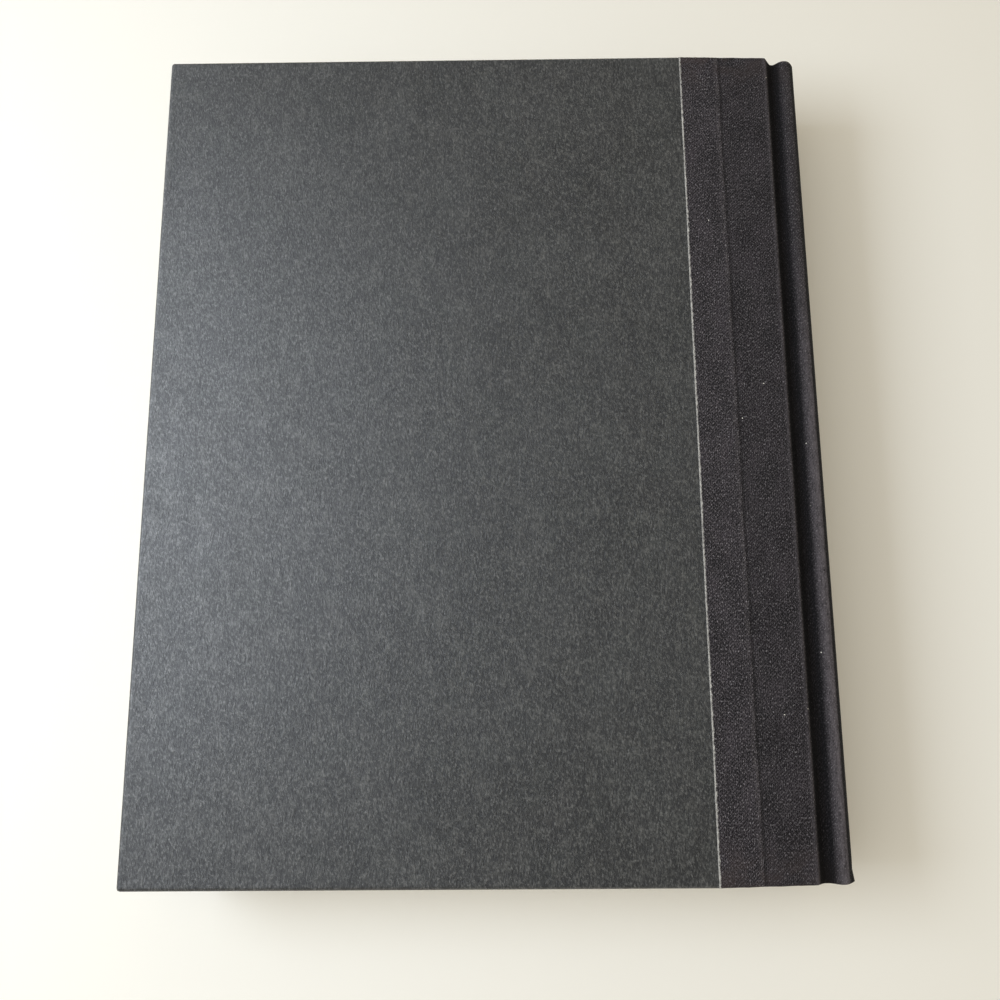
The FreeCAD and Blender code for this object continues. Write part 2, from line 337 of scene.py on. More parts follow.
class Nodes:
    """A node tree that is being put together."""

    def __init__(self, tree):
        self.tree = tree

    def node(self, kind, settings=None, values=None, output=0):
        """Adds a node: its settings first, then what its sockets hold or are linked to."""
        made = self.tree.nodes.new(kind)
        for key, setting in (settings or {}).items():
            setattr(made, key, setting)
        for key, value in (values or {}).items():
            if isinstance(value, Value):
                self.tree.links.new(value.socket, made.inputs[key])
            else:
                made.inputs[key].default_value = value
        return Value(self, made.outputs[output])

    def place(self, turn=0.0, stretch=(1000, 1000, 1000), of="Object"):
        """Object or UV coordinates, turned by so many degrees about Z, then divided by the pattern's
        lengths, which are in millimetres. Left out, they are a metre each."""
        values = {"Vector": self.node("ShaderNodeTexCoord").output(of), "Angle": math.radians(turn)}
        turned = self.node("ShaderNodeVectorRotate", {"rotation_type": "Z_AXIS"}, values)
        share = tuple(1 / (length * MM) for length in stretch)
        return self.node("ShaderNodeVectorMath", {"operation": "MULTIPLY"}, {0: turned, 1: share})

    def noise(self, where, detail=2.0, roughness=0.5):
        values = {"Vector": where, "Scale": 1.0, "Detail": detail, "Roughness": roughness}
        return self.node("ShaderNodeTexNoise", values=values)

    def grain(self, stretch, turn=0.0, of="Object", **noise):
        """A noise whose lengths are given in millimetres."""
        return self.noise(self.place(turn, stretch, of), **noise)

    def parts(self, where):
        """The x, y and z of a vector."""
        split = self.node("ShaderNodeSeparateXYZ", values={"Vector": where})
        return [split.output(axis) for axis in "XYZ"]

    def mix(self, share, first, second):
        """Colour first turning to colour second as share goes from 0 to 1."""
        values = {0: share, 6: colour(first), 7: colour(second)}
        return self.node("ShaderNodeMix", {"data_type": "RGBA"}, values, output=2)


class Finish(Nodes):
    """A material that is being put together, with its Principled shader as surface."""

    def __init__(self, name, roughness, specular=0.5, sheen=0.0, ior=1.5):
        self.material = bpy.data.materials.new(name)
        self.material.use_nodes = True
        super().__init__(self.material.node_tree)
        self.shader = self.tree.nodes["Principled BSDF"]
        self.shader.inputs["Roughness"].default_value = roughness
        self.shader.inputs["Specular IOR Level"].default_value = specular
        self.shader.inputs["IOR"].default_value = ior
        self.shader.inputs["Sheen Weight"].default_value = sheen
        self.shader.inputs["Sheen Roughness"].default_value = 0.5

    def done(self, base, height=None, depth=0.0, roughness=None):
        """Links the base colour, a bump of height, whose full range stands for depth, and the roughness."""
        self.tree.links.new(base.socket, self.shader.inputs["Base Color"])
        if roughness is not None:
            self.tree.links.new(roughness.socket, self.shader.inputs["Roughness"])
        if height is not None:
            values = {"Height": height, "Distance": depth, "Strength": 1.0}
            bump = self.node("ShaderNodeBump", values=values)
            self.tree.links.new(bump.socket, self.shader.inputs["Normal"])
        return self.material


def colour(value):
    """A screen colour, given as three numbers to 255, as the linear colour that a socket holds."""
    if isinstance(value, Value):
        return value
    share = [v / 255 for v in value]
    linear = [s / 12.92 if s <= 0.04045 else ((s + 0.055) / 1.055) ** 2.4 for s in share]
    return (*linear, 1.0)


# ---- Finishes ----


def side_paper_finish():
    """Charcoal paper with a soft sheen: clouds, and short pale and dark fibres, mostly along the height."""
    f = Finish("side_paper", roughness=0.4, specular=1.0, ior=1.6)
    clouds = f.grain(stretch=(16, 26, 14), detail=4, roughness=0.6)
    tints = f.grain(turn=30, stretch=(9, 9, 10), detail=1)
    patches = f.grain(turn=-10, stretch=(3.0, 5.0, 3), detail=5, roughness=0.75)
    streaks = f.grain(turn=4, stretch=(1.0, 18, 5), detail=3)
    felt = f.grain(turn=-20, stretch=(0.5, 0.8, 0.6), detail=3, roughness=0.7)
    one_way = f.grain(turn=8, stretch=(0.30, 1.8, 0.34))
    other_way = f.grain(turn=-22, stretch=(0.30, 1.2, 0.34))
    pale = one_way.between(0.50, 0.74) + other_way.between(0.54, 0.78)
    dark = one_way.between(0.47, 0.26) + other_way.between(0.45, 0.22)
    base = f.mix(clouds.between(0.36, 0.64), (14, 14, 13), (34, 35, 34))
    base = f.mix(tints.between(0.52, 0.68) * 0.3, base, (40, 47, 44))
    base = f.mix(tints.between(0.48, 0.32) * 0.25, base, (49, 47, 48))
    base = f.mix(patches.between(0.52, 0.38) * 0.8, base, (9, 9, 9))
    base = f.mix(patches.between(0.5, 0.66) * 0.65, base, (71, 71, 69))
    base = f.mix(streaks.between(0.35, 0.75) * 0.3, base, (55, 56, 55))
    base = f.mix(felt.between(0.50, 0.68) * 0.82, base, (101, 102, 101))
    base = f.mix(felt.between(0.5, 0.31) * 0.9, base, (5, 5, 5))
    base = f.mix(dark * 0.85, base, (3, 3, 4))
    base = f.mix(pale * 0.24, base, (129, 130, 129))
    grain = felt * 0.8 + pale * 0.2 - dark * 0.35
    rough = 0.40 + clouds * 0.18 + (0.5 - felt) * 0.3 + (0.5 - patches) * 0.2
    return f.done(base, grain, 0.06 * MM, rough)


def cloth_finish():
    """Fine dark weave in slanting rows, light flecks where threads catch, and the pale cut edge. Painted
    shade darkens the joint, and a painted highlight lies on the board's edge and the shoulder's crest."""
    f = Finish("binding_cloth", roughness=0.75, specular=0.24)
    across, along, _ = f.parts(f.place(of="UV"))
    drift = f.grain(stretch=(3, 3, 3), of="UV") - 0.5
    turns = 2 * math.pi
    rows = ((across - along) * (turns / (0.98 * MM)) + drift * 3.0).sine()
    warp = (across * (turns / (0.56 * MM)) + drift * 1.5).sine()
    weft = (along * (turns / (0.62 * MM)) + drift * 1.5).sine()
    weave = rows * 0.2 + warp * weft * 0.2 + warp * 0.18 + 0.5
    threads = f.grain(turn=45, stretch=(0.8, 0.36, 1), of="UV", roughness=0.7)
    slub = f.grain(stretch=(0.30, 0.62, 1), of="UV")
    clouds = f.grain(stretch=(6, 12, 1), of="UV", detail=3)
    base = f.mix(weave.between(0.15, 0.85), (4, 4, 5), (69, 65, 71))
    base = f.mix(clouds.between(0.58, 0.32) * 0.5, base, (15, 14, 17))
    base = f.mix(clouds.between(0.5, 0.75) * 0.35, base, (67, 61, 69))
    base = f.mix(threads.between(0.5, 0.25) * 0.8, base, (6, 5, 6))
    base = f.mix(threads.between(0.5, 0.74) * 0.68, base, (112, 107, 115))
    base = f.mix(slub.between(0.56, 0.76) * 0.70, base, (174, 171, 178))
    base = f.mix(slub.between(0.46, 0.26) * 0.75, base, (5, 4, 5))
    base = f.mix(worn_ends(f, along) * 0.45, base, (69, 59, 59))
    # Painted light and shade where the cloth bends. joint is the mask of the painted shade in the groove,
    # and it raises the roughness there too.
    base, joint = painted_cloth_light_and_shade(f, base, across, along)
    base = f.mix(dust(f), base, (226, 224, 220))
    base = f.mix(cut_edge(f, across), base, (189, 188, 185))
    return f.done(base, weave * 0.6 + threads * 0.7, 0.12 * MM, 0.75 + joint * 0.25)


def painted_cloth_light_and_shade(f, base, across, along):
    """Painted light and shade on the cloth where it bends and where the joint is: painted shade in the
    joint and beyond the crest, a painted highlight on the board's edge and the crest, and by the step off
    the side paper's edge a painted highlight, painted shade and a darker band past it."""
    step_at, wall_at, crest_at = cloth_marks()
    highlight_patches = f.grain(stretch=(0.9, 3.5, 1), of="UV", detail=3, roughness=0.7)
    # Painted shade in the joint, from the top of the groove's wall towards the crest. The mask joint also
    # raises the roughness there.
    joint = across.between(wall_at - 0.3 * MM, wall_at + 0.7 * MM)
    joint = joint * across.between(crest_at - 0.4 * MM, crest_at - 3 * MM)
    base = f.mix(joint * 0.8, base, (5, 5, 6))
    # Painted highlight on the board's rounded inner edge and on the shoulder's crest, broken into patches
    # by a grain. The crest's highlight fades towards the head.
    edge = across.around(wall_at, -2.2, -0.9, -0.6, 0)
    crest_highlight = across.around(crest_at, -2.6, 1.2, 1.3, 2.3)
    highlight_strength = along.between(80 * MM, -10 * MM) * 0.5 + 0.05
    base = f.mix((edge * 0.2 + crest_highlight * highlight_strength) * highlight_patches.between(0.2, 0.65), base, (136, 131, 140))
    # Painted shade where the back turns away from the light, beyond the crest.
    base = f.mix(across.around(crest_at, 1.5, 2.4, 4, 8) * 0.7, base, (9, 8, 9))
    # Painted highlight on the glue ridge before the side paper's edge, painted shade where the cloth drops
    # off it, and the cloth a little darker over the board past the step.
    step_highlight = across.around(step_at, -1.5, -0.5, 0, 0.2)
    base = f.mix(step_highlight * highlight_patches.between(0.4, 0.7) * 0.16, base, (138, 132, 133))
    base = f.mix(across.around(step_at, 0, 0.5, 0.7, 1.6) * 0.5, base, (15, 14, 15))
    base = f.mix(across.between(step_at, step_at + 2 * MM) * 0.22, base, (9, 8, 8))
    return base, joint


def cut_edge(f, across):
    """The cloth's cut edge, where its pale backing shows: a ragged line, frayed and faded in places."""
    ragged = f.grain(stretch=(0.4, 1.6, 1), of="UV", detail=3, roughness=0.7)
    faded = f.grain(stretch=(9, 22, 1), of="UV").between(0.3, 0.6)
    frayed = f.grain(stretch=(1, 1.1, 1), of="UV", detail=3, roughness=0.7)
    line = (across + (ragged - 0.5) * (1.5 * MM)).between(EDGE_BAND * 1.3, EDGE_BAND * 0.75)
    return line * (0.25 + frayed.between(0.36, 0.58) * 0.5 + faded * 0.25)


def cloth_marks():
    """Distances along the cloth from its edge on the board: to the side paper's edge under it, to the top
    of the groove's wall, and to the shoulder's crest."""
    outer, _ = cloth_section()
    before = outer[:, 0] <= CREST_X
    places = (PAPER_HIGH[0], BOARD_HIGH[0] + CLOTH / 2, CREST_X)
    return (float(s) for s in np.interp(places, outer[before, 0], arc_lengths(outer)[before]))


def worn_ends(f, along):
    """More towards head and tail, where handling has rubbed the dye brown."""
    from_end = CLOTH_HALF - along.size()
    patches = f.grain(stretch=(7, 6, 1), of="UV", detail=3)
    return from_end.between(16 * MM, 0.5 * MM) * patches.between(0.38, 0.62)


def dust(f):
    """A few specks of lint: the middles of flat cells, of which only one in many is taken."""
    where = f.place(stretch=(7, 7, 1), of="UV")
    cells = f.node("ShaderNodeTexVoronoi", {"voronoi_dimensions": "2D"}, {"Vector": where, "Scale": 1.0})
    near = cells.between(0.030, 0.018)
    return near * f.parts(cells.output("Color"))[0].between(0.945, 0.95)


def leaf_edge_finish():
    """The pages' cut edges: thin lines along each leaf, in creams that differ from section to section."""
    f = Finish("page_paper", roughness=0.85, specular=0.2)
    _, through, _ = f.parts(f.place(of="UV"))
    x, _, _ = f.parts(f.place(stretch=(40, 1000, 1000), of="UV"))
    by_leaf = f.node("ShaderNodeCombineXYZ", values={0: x, 1: through * (LEAVES * 0.9), 2: 0.0})
    by_section = f.node("ShaderNodeCombineXYZ", values={0: x * 0.5, 1: through * SECTIONS, 2: 3.0})
    leaves = f.noise(by_leaf, roughness=0.7)
    groups = f.noise(by_section)
    base = f.mix(groups.between(0.25, 0.75), (222, 214, 196), (236, 230, 214))
    base = f.mix(leaves.between(0.52, 0.25) * 0.6, base, (172, 162, 142))
    base = f.mix(leaves.between(0.6, 0.8) * 0.4, base, (246, 241, 228))
    return f.done(base, leaves, 0.05 * MM)


def endpaper_finish():
    """Plain cream endpaper with a faint felt and clouding."""
    f = Finish("endpaper", roughness=0.8, specular=0.25)
    clouds = f.grain(stretch=(26, 34, 26), detail=3)
    felt = f.grain(stretch=(0.5, 0.9, 0.5), detail=3)
    base = f.mix(clouds, (229, 223, 208), (238, 233, 221))
    base = f.mix(felt.between(0.55, 0.75) * 0.35, base, (215, 207, 190))
    return f.done(base, felt, 0.02 * MM)


def plain_finish(name, dark, light, grain, depth, weave=0.0):
    """Fibrous board, card, kraft paper or mull: two tones in a grain whose lengths, like the depth and the
    threads' spacing, are in millimetres. Open threads cross it where a weave is given."""
    f = Finish(name, roughness=0.85, specular=0.2)
    speckle = f.grain(stretch=grain, detail=3, roughness=0.65)
    height = speckle
    base = f.mix(speckle.between(0.3, 0.7), dark, light)
    if weave:
        x, y, _ = f.parts(f.place())
        pitch = 2 * math.pi / (weave * MM)
        threads = (x * pitch).sine() * (y * pitch).sine()
        base = f.mix(threads.between(-0.2, 0.6) * 0.5, base, dark)
        height = threads
    return f.done(base, height, depth * MM)


def band_finish():
    """Cream silk wound over a cord, with painted shade as a darker line along one side of each turn of
    thread.
    """
    f = Finish("band_thread", roughness=0.5, specular=0.4, sheen=0.2)
    _, wound, _ = f.parts(f.place(of="UV"))
    turn = (wound * (2 * math.pi)).sine()
    tone = f.grain(stretch=(1, 1, 1))
    base = f.mix(tone, (206, 196, 172), (228, 220, 202))
    # Painted shade on the side of each turn that runs into the groove before the next turn.
    base = f.mix(turn.between(0.0, -0.9) * 0.7, base, (128, 112, 88))
    return f.done(base, tone, 0.02 * MM)


# ---- The cloth over back, joints and boards ----


def cloth_section():
    """Outer and inner curves of half the cloth, from its edge on the board to the middle of the back. The
    outer curve runs over the side paper, steps down off its edge, rounds the board's inner edge, leans
    into the groove, and climbs the shoulder to the round back. The inner one is where the turned-in cloth
    lies."""
    high = BOARD_TOP + PAPER + CLOTH - STEP_BEAD
    low = BOARD_TOP + CLOTH
    radius = BOARD_EDGE_RADIUS + CLOTH
    edge_x = BOARD_HIGH[0] + CLOTH - radius
    floor = FLAT + CLOTH_OUTSIDE
    foot_low = FOOT_RADIUS - CLOTH_OUTSIDE
    step_x = PAPER_HIGH[0]
    over_paper = run((CLOTH_LOW[0], high), (step_x - STEP_LENGTH, high), 24)
    step = run((step_x - STEP_LENGTH, high), (step_x + STEP_LENGTH, low), 15)
    along = (step[:, 0] - step_x) / STEP_LENGTH
    step[:, 1] = high + (low - high) * smooth((along + 0.6) / 1.6) + STEP_BEAD * bell(along, 0.4)
    over_board = run(step[-1], (edge_x, low), 20)
    half_turn, quarter = math.pi, math.pi / 2
    drop = low - radius - floor - GROOVE_FILLET
    lean = math.atan2(WALL_LEAN, drop)
    edge = arc(edge_x, low - radius, radius, quarter, lean, 10)
    fillet_x = edge[-1, 0] + drop * math.tan(lean) + GROOVE_FILLET / math.cos(lean)
    fillet = arc(fillet_x, floor + GROOVE_FILLET, GROOVE_FILLET, half_turn + lean, 1.5 * half_turn, 8)
    wall = run(edge[-1], fillet[0], 5)
    bottom = run(fillet[-1], (FOOT_X, floor), 4)
    foot = arc(FOOT_X, FLAT + FOOT_RADIUS, foot_low, -quarter, SLOPE - quarter, 10)
    tip = arc(CREST_X, TIP_Z, TIP_RADIUS + CLOTH_OUTSIDE, quarter + SLOPE, BACK_ANGLE, 28)
    back = arc(BACK_X, 0, BACK_RADIUS + CLOTH_OUTSIDE, BACK_ANGLE, 0, 26)
    flat_part = joined(over_paper, step, over_board, edge, wall, fillet, bottom)
    outer = joined(flat_part, foot, tip, back)

    inner_offset = CLOTH_OUTSIDE - 2 * CLOTH
    inner_flat = np.stack([flat_part[:, 0], np.full(len(flat_part), FLAT + inner_offset)], axis=-1)
    inner_foot = arc(FOOT_X, FLAT + FOOT_RADIUS, FOOT_RADIUS - inner_offset, -quarter, SLOPE - quarter, 10)
    sinking = inner_offset + (SPINE_FOLD_UNDER - inner_offset) * smooth(np.linspace(-0.6, 1, 28))
    inner_tip = arc(CREST_X, TIP_Z, TIP_RADIUS + sinking, quarter + SLOPE, BACK_ANGLE, 28)
    inner_back = arc(BACK_X, 0, BACK_RADIUS + SPINE_FOLD_UNDER, BACK_ANGLE, 0, 26)
    return outer, joined(inner_flat, inner_foot, inner_tip, inner_back)


def cloth_ends(outer):
    """Half lengths of the cloth at head and tail, along its section. Over the paper it just covers it, then
    it draws in with the board's taper, dips in over the groove, is drawn in most at the crest, far more at
    the head than at the tail, and comes about halfway out again over the round back."""
    x = outer[:, 0]
    over = 0.08 * MM + (CLOTH_HALF - PAPER_HIGH[1] - 0.08 * MM) * smooth((x - PAPER_HIGH[0]) / (4 * MM))
    half = PAPER_HIGH[1] + over - shortening(x)
    groove = bell(x - BOARD_HIGH[0] - 3.2 * MM, 1.9 * MM) * (outer[:, 1] < BOARD_TOP)
    spine = smooth((x - BOARD_HIGH[0] + 0.4 * MM) / (2.6 * MM))
    spine = spine * (1 - 0.48 * smooth(1 - outer[:, 1] / TIP_Z) * (x > CREST_X))
    head = half - 1.25 * MM * spine - 0.05 * MM * groove
    tail = half - 0.1 * MM * spine - 0.12 * MM * groove
    return head, tail


def folded_profile(depth, head, tail):
    """How each lengthwise line of the cloth runs from one turned-in end to the other: y, and how deep it is
    below the outer curve. It is flat on top, rounds the end, drops, rounds again and runs back inside."""
    tight = np.minimum(BOARD_EDGE_RADIUS + CLOTH, 0.48 * depth)
    inner = np.minimum(FOLD_RADIUS, 0.45 * depth)
    turn = np.linspace(0, math.pi / 2, 7)
    back_in = np.linspace(0, 1, 6)[:-1]
    sine, cosine = np.sin(turn), np.cos(turn)
    ends = []
    for half in (head, tail):
        rows = [(half - TURN_IN + (TURN_IN - inner) * t, depth) for t in back_in]
        rows += [(half - inner + inner * a, depth - inner + inner * b) for a, b in zip(sine, cosine)]
        rows += [(half - tight + tight * b, tight - tight * a) for a, b in zip(sine, cosine)]
        ends.append([np.stack([row[k] for row in rows], axis=1) for k in (0, 1)])
    ease = np.linspace(0, 1, 76)[None, 1:-1]
    middle = (head - tight)[:, None] * (1 - ease) - (tail - tight)[:, None] * ease
    y = np.concatenate([ends[0][0], middle, -ends[1][0][:, ::-1]], axis=1)
    below = np.concatenate([ends[0][1], np.zeros_like(middle), ends[1][1][:, ::-1]], axis=1)
    return y, below


def half_cloth(name, side, seed):
    """Half the binding cloth, from one board to the middle of the back, as a folded sheet. Each point is
    the outer curve's, sunk towards the inner curve by the fold profile's depth, plus slow ripples of hand
    work. Its map holds the distance across from the edge on the board, and that along the folded line."""
    outer, inner = cloth_section()
    head, tail = cloth_ends(outer)
    drop = np.linalg.norm(outer - inner, axis=1)
    y, below = folded_profile(drop, head, tail)
    share = below / drop[:, None]
    x = outer[:, :1] + (inner[:, :1] - outer[:, :1]) * share
    z = outer[:, 1:] + (inner[:, 1:] - outer[:, 1:]) * share
    on_top = 1 - smooth(share * 3)
    from_edge = arc_lengths(outer)[:, None]
    steps = -np.hypot(np.diff(y, axis=1), np.diff(below, axis=1))
    laid = np.concatenate([0 * from_edge, np.cumsum(steps, axis=1)], axis=1)
    laid = laid - laid[:, :1] / 2 - laid[:, -1:] / 2

    edge_sway = ripple(y, seed, 85 * MM, 0.05 * MM) + ripple(y, seed + 1, 7 * MM, 0.035 * MM)
    x = x + on_top * edge_sway * np.exp(-from_edge / (2.0 * MM))
    wall = smooth((outer[:, :1] - PAPER_HIGH[0] - 4 * MM) / (10 * MM))
    wall = wall * (1 - smooth((outer[:, :1] - BOARD_HIGH[0] - 1.5 * MM) / (2.6 * MM)))
    x = x + wall * squareness(y)
    step_sway = ripple(y, seed + 2, 60 * MM, 0.16 * MM)
    x = x + on_top * step_sway * bell(outer[:, :1] - PAPER_HIGH[0], 3 * MM)
    in_groove = bell(outer[:, :1] - BOARD_HIGH[0] - 2.4 * MM, 1.6 * MM)
    groove_sway = ripple(y, seed + 3, 70 * MM, 0.10 * MM) + ripple(y, seed + 4, 11 * MM, 0.03 * MM)
    z = z + on_top * np.minimum(groove_sway, 0.12 * MM) * in_groove
    ends = ripple(from_edge, seed + 5, 9 * MM, 0.05 * MM) - 0.06 * MM
    y = y + np.sign(y) * ends * smooth((np.abs(y) - CLOTH_HALF + 4 * MM) / (3 * MM))
    x, y, z = worn_corner(x, y, z, outer)
    uv = np.stack([np.broadcast_to(from_edge, y.shape), laid], axis=-1)
    return make_piece(name, [(placed(x, y, z, side), False)], uvs=[uv], flip=side < 0)


def worn_corner(x, y, z, outer):
    """The tail end of the shoulder's turn, knocked in handling: a small blunt lip where the fold flares,
    with a shallow notch above it. The turn is drawn in a little at both ends."""
    at_turn = bell(outer[:, :1] - CREST_X - 2.9 * MM, 1.3 * MM) * (outer[:, 1:] > TIP_Z * 0.6)
    near_tail = bell(y + CLOTH_HALF - 1.7 * MM, 1.1 * MM)
    notch = bell(y + CLOTH_HALF - 3.8 * MM, 0.9 * MM)
    at_tail = smooth((-y - CLOTH_HALF + 2.6 * MM) / (2.4 * MM))
    at_head = smooth((y - CLOTH_HALF + 6 * MM) / (4 * MM))
    x = x + (0.45 * near_tail - 0.2 * notch) * at_turn * MM
    y = y + (0.5 * at_tail - 0.6 * at_head) * at_turn * MM
    return x, y, z


# ---- The boards and the card ----


def board(name, side):
    """A grey board: rounded outlines one above the other, each the plan inset by the edge's rounding at its
    height. The ends draw in towards the groove like the cloth's."""
    low, high = BOARD_UNDER, BOARD_TOP
    under_radius, r = 0.4 * MM, BOARD_EDGE_RADIUS
    a = np.linspace(0, math.pi / 2, 6)
    on_face = np.array([30, 5]) * MM
    edge = [under_radius * (1 - np.sin(a)), r * (1 - np.cos(a))]
    inset = np.concatenate([on_face, *edge, on_face[::-1]])
    rise = [low + under_radius * (1 - np.cos(a)), high - r + r * np.sin(a)]
    height = np.concatenate([[low, low], *rise, [high, high]])
    t = np.linspace(0, 1, 40)[:-1]
    x0, x1, half = BOARD_LOW[0], BOARD_HIGH[0], BOARD_HIGH[1]
    zero = 0 * t
    across = np.concatenate([t, zero + 1, 1 - t, zero])[None, :]
    along = np.concatenate([zero - 1, 2 * t - 1, zero + 1, 1 - 2 * t])[None, :]
    inset = inset[:, None]
    x = (x0 + inset) * (1 - across) + (x1 - inset) * across
    y = along * (half - shortening(x) - inset)
    x = x + squareness(y) * smooth(across * 8 - 7)
    rims = placed(x, y, height[:, None], side)
    t = np.linspace(0, 1, 40)
    caps = []
    for row in (0, -1):
        cap_x = (x0 + inset[row] + (x1 - x0 - 2 * inset[row]) * t)[:, None]
        cap_y = (2 * t - 1)[None, :] * (half - shortening(cap_x) - inset[row])
        cap_x = cap_x + squareness(cap_y) * smooth(t * 8 - 7)[:, None]
        caps.append((placed(cap_x, cap_y, height[row], side), False))
    return make_piece(name, [(rims, True)] + caps, closed=True)


def spine_card(name):
    """The card strip inside the cloth back, as long as the cloth's folds leave room for, less CARD_SHORT at
    the head."""
    outer, _ = cloth_section()
    over_back = outer[:, 0] > CREST_X
    head, tail = (ends[over_back].min() - CLOTH - 0.1 * MM for ends in cloth_ends(outer))
    head = head - CARD_SHORT
    under = BACK_RADIUS + CLOTH_OUTSIDE - CLOTH - INLAY
    radii = under + np.array([0.03, 0.03, 0.97, 0.97]) * INLAY
    strip = bent_strip(radii, np.array([-tail, head, head, -tail]), reach=0.98)
    return make_piece(name, strip, closed=True)


# ---- The side papers ----


def side_paper(name, side, seed):
    """Paper over a board. Lines run as nested U shapes, open towards the back: the outermost at the board's
    edge and the rest stepping in to the middle, above on the face and below on the turn-ins. The profile
    across them is the turn-in, two rounded edges with the board's side between, and the face."""
    top, under = BOARD_TOP + PAPER, BOARD_UNDER - PAPER
    fore, end = PAPER_LOW[0], PAPER_HIGH[0]
    half = PAPER_HIGH[1]
    upper, lower = BOARD_EDGE_RADIUS + PAPER, 0.35 * MM
    steps = np.array([1.6, 2.4, 4, 7, 12, 20, 30, 42, 55, 70, 85, 100, 115, 130]) * MM
    steps = steps[steps < half - 0.1 * MM]
    below = np.linspace(0, math.pi / 2, 6)
    above = np.linspace(0, math.pi / 2, 9)
    inset = [np.linspace(TURN_IN, lower, 6), lower - lower * np.sin(below)[1:], [0.0]]
    inset = np.concatenate(inset + [upper - upper * np.cos(above), steps, [half]])
    height = [np.full(6, under), under + lower - lower * np.cos(below)[1:]]
    height += [[(top - upper + under + lower) / 2], top - upper + upper * np.sin(above)]
    height = np.concatenate(height + [np.full(len(steps) + 1, top)])
    corner = np.maximum(1.1 * MM - inset, 0.12 * MM)[:, None]
    corner[-1] = 0
    inset = inset[:, None]
    t_run, t_fore = np.linspace(0, 1, 46)[None, :], np.linspace(0, 1, 60)[None, 1:-1]
    a = np.linspace(0, math.pi / 2, 7)[None, :]
    tail_x = end + (fore + inset + corner - end) * t_run
    tail_y = np.broadcast_to(-(half - inset), tail_x.shape)
    corner_x = fore + inset + corner - corner * np.sin(a)
    corner_y = -(half - inset) + corner - corner * np.cos(a)
    fore_y = (-(half - inset) + corner) * (1 - 2 * t_fore)
    fore_x = np.broadcast_to(fore + inset, fore_y.shape)
    back_x = tail_x[:, ::-1]
    x = np.concatenate([tail_x, corner_x[:, 1:], fore_x, corner_x[:, ::-1], back_x[:, 1:]], axis=1)
    y = np.concatenate([tail_y, corner_y[:, 1:], fore_y, -corner_y[:, ::-1], -tail_y[:, 1:]], axis=1)
    y = y * (1 - shortening(x) / half)
    on_face = smooth((inset - upper) / (3 * MM)) * (height[:, None] > BOARD_TOP)
    z = height[:, None] + on_face * face_waver(x, y, seed)
    piece = make_piece(name, [(placed(x, y, z, side), False)], flip=side > 0)
    merge_doubles(piece.data)
    return piece


def face_waver(x, y, seed):
    """The slow unevenness of pasted paper, a few hundredths of a millimetre, kept below the cloth on it."""
    one_way = ripple(x + 0.6 * y, seed, 120 * MM, 0.02 * MM)
    other_way = ripple(y - 0.4 * x, seed + 1, 90 * MM, 0.02 * MM)
    return one_way + other_way - 0.03 * MM


# ---- The endpapers ----


def leaf_rows(count):
    """Evenly spaced places along a leaf's height, and one more close to each end, to keep the face flat."""
    ends = PAGE_HALF - LEAF_RIM
    return in_order(np.linspace(-PAGE_HALF, PAGE_HALF, count), [-ends, ends])


def pastedown(name, side):
    """The pasted leaf's own outline: over the turn-ins it stands a paper's thickness lower than over bare
    board, with soft steps between, then down the joint's layers and up the shoulder to the crest."""
    low_edge = CLOTH_LOW[0]
    step = np.linspace(-0.5, 0.7, 9) * MM
    x_flat = in_order(
        np.linspace(PAGE_FORE_X, low_edge, 40), [PAGE_FORE_X + LEAF_RIM], PAPER_LOW[0] + TURN_IN + step
    )
    joint = shoulder(PASTEDOWN_UNDER, low_edge + 0.8 * MM, flat_count=14, arc_count=12)
    x = np.concatenate([x_flat, joint[:, 0]])[:, None]
    turn_y = PAPER_HIGH[1] - TURN_IN
    y = in_order(leaf_rows(70), turn_y - step, step - turn_y)[None, :]
    bare = smooth((x - PAPER_LOW[0] - TURN_IN) / (0.6 * MM)) * smooth((turn_y - np.abs(y)) / (0.6 * MM))
    under = BOARD_UNDER - LEAF - PAPER * (1 - bare)
    joint_z = np.concatenate([np.full(len(x_flat), FLAT + PASTEDOWN_UNDER), joint[:, 1]])[:, None]
    into_joint = smooth((x - low_edge + 0.6 * MM) / (1.2 * MM))
    z = under * (1 - into_joint) + joint_z * into_joint
    piece = make_piece(name, [(placed(x, y, z, side), False)], flip=side < 0)
    return thickened(piece, 0.8 * LEAF)


def flyleaf(name, side):
    """The free leaf, on the pages and up the shoulder to the crest."""
    line = shoulder(0, PAGE_FORE_X, flat_count=60, arc_count=14)
    line = np.insert(line, 1, line[0] + (LEAF_RIM, 0), axis=0)
    y = leaf_rows(60)
    piece = make_piece(name, [(placed(line[:, :1], y[None, :], line[:, 1:], side), False)], flip=side > 0)
    return thickened(piece, LEAF)


def endpaper_fold(name, side):
    """The fold between the two leaves at the crest: a narrow U, from under the pastedown to the leaf."""
    quarter, reach = math.pi / 2, math.radians(26)
    inset = 0.02 * MM
    high, low = PASTEDOWN_UNDER - inset, inset
    fold_z, fold_radius = TIP_Z + TIP_RADIUS + (high + low) / 2, (high - low) / 2
    above = arc(CREST_X, TIP_Z, TIP_RADIUS + high, quarter + reach, quarter, 8)
    round_fold = arc(CREST_X, fold_z, fold_radius, quarter, -quarter, 12)
    below = arc(CREST_X, TIP_Z, TIP_RADIUS + low, quarter, quarter + reach, 8)
    line = joined(above, round_fold, below)
    y = np.linspace(-PAGE_HALF, PAGE_HALF, 40)
    return make_piece(name, [(placed(line[:, :1], y[None, :], line[:, 1:], side), False)], flip=side > 0)


# ---- The pages ----


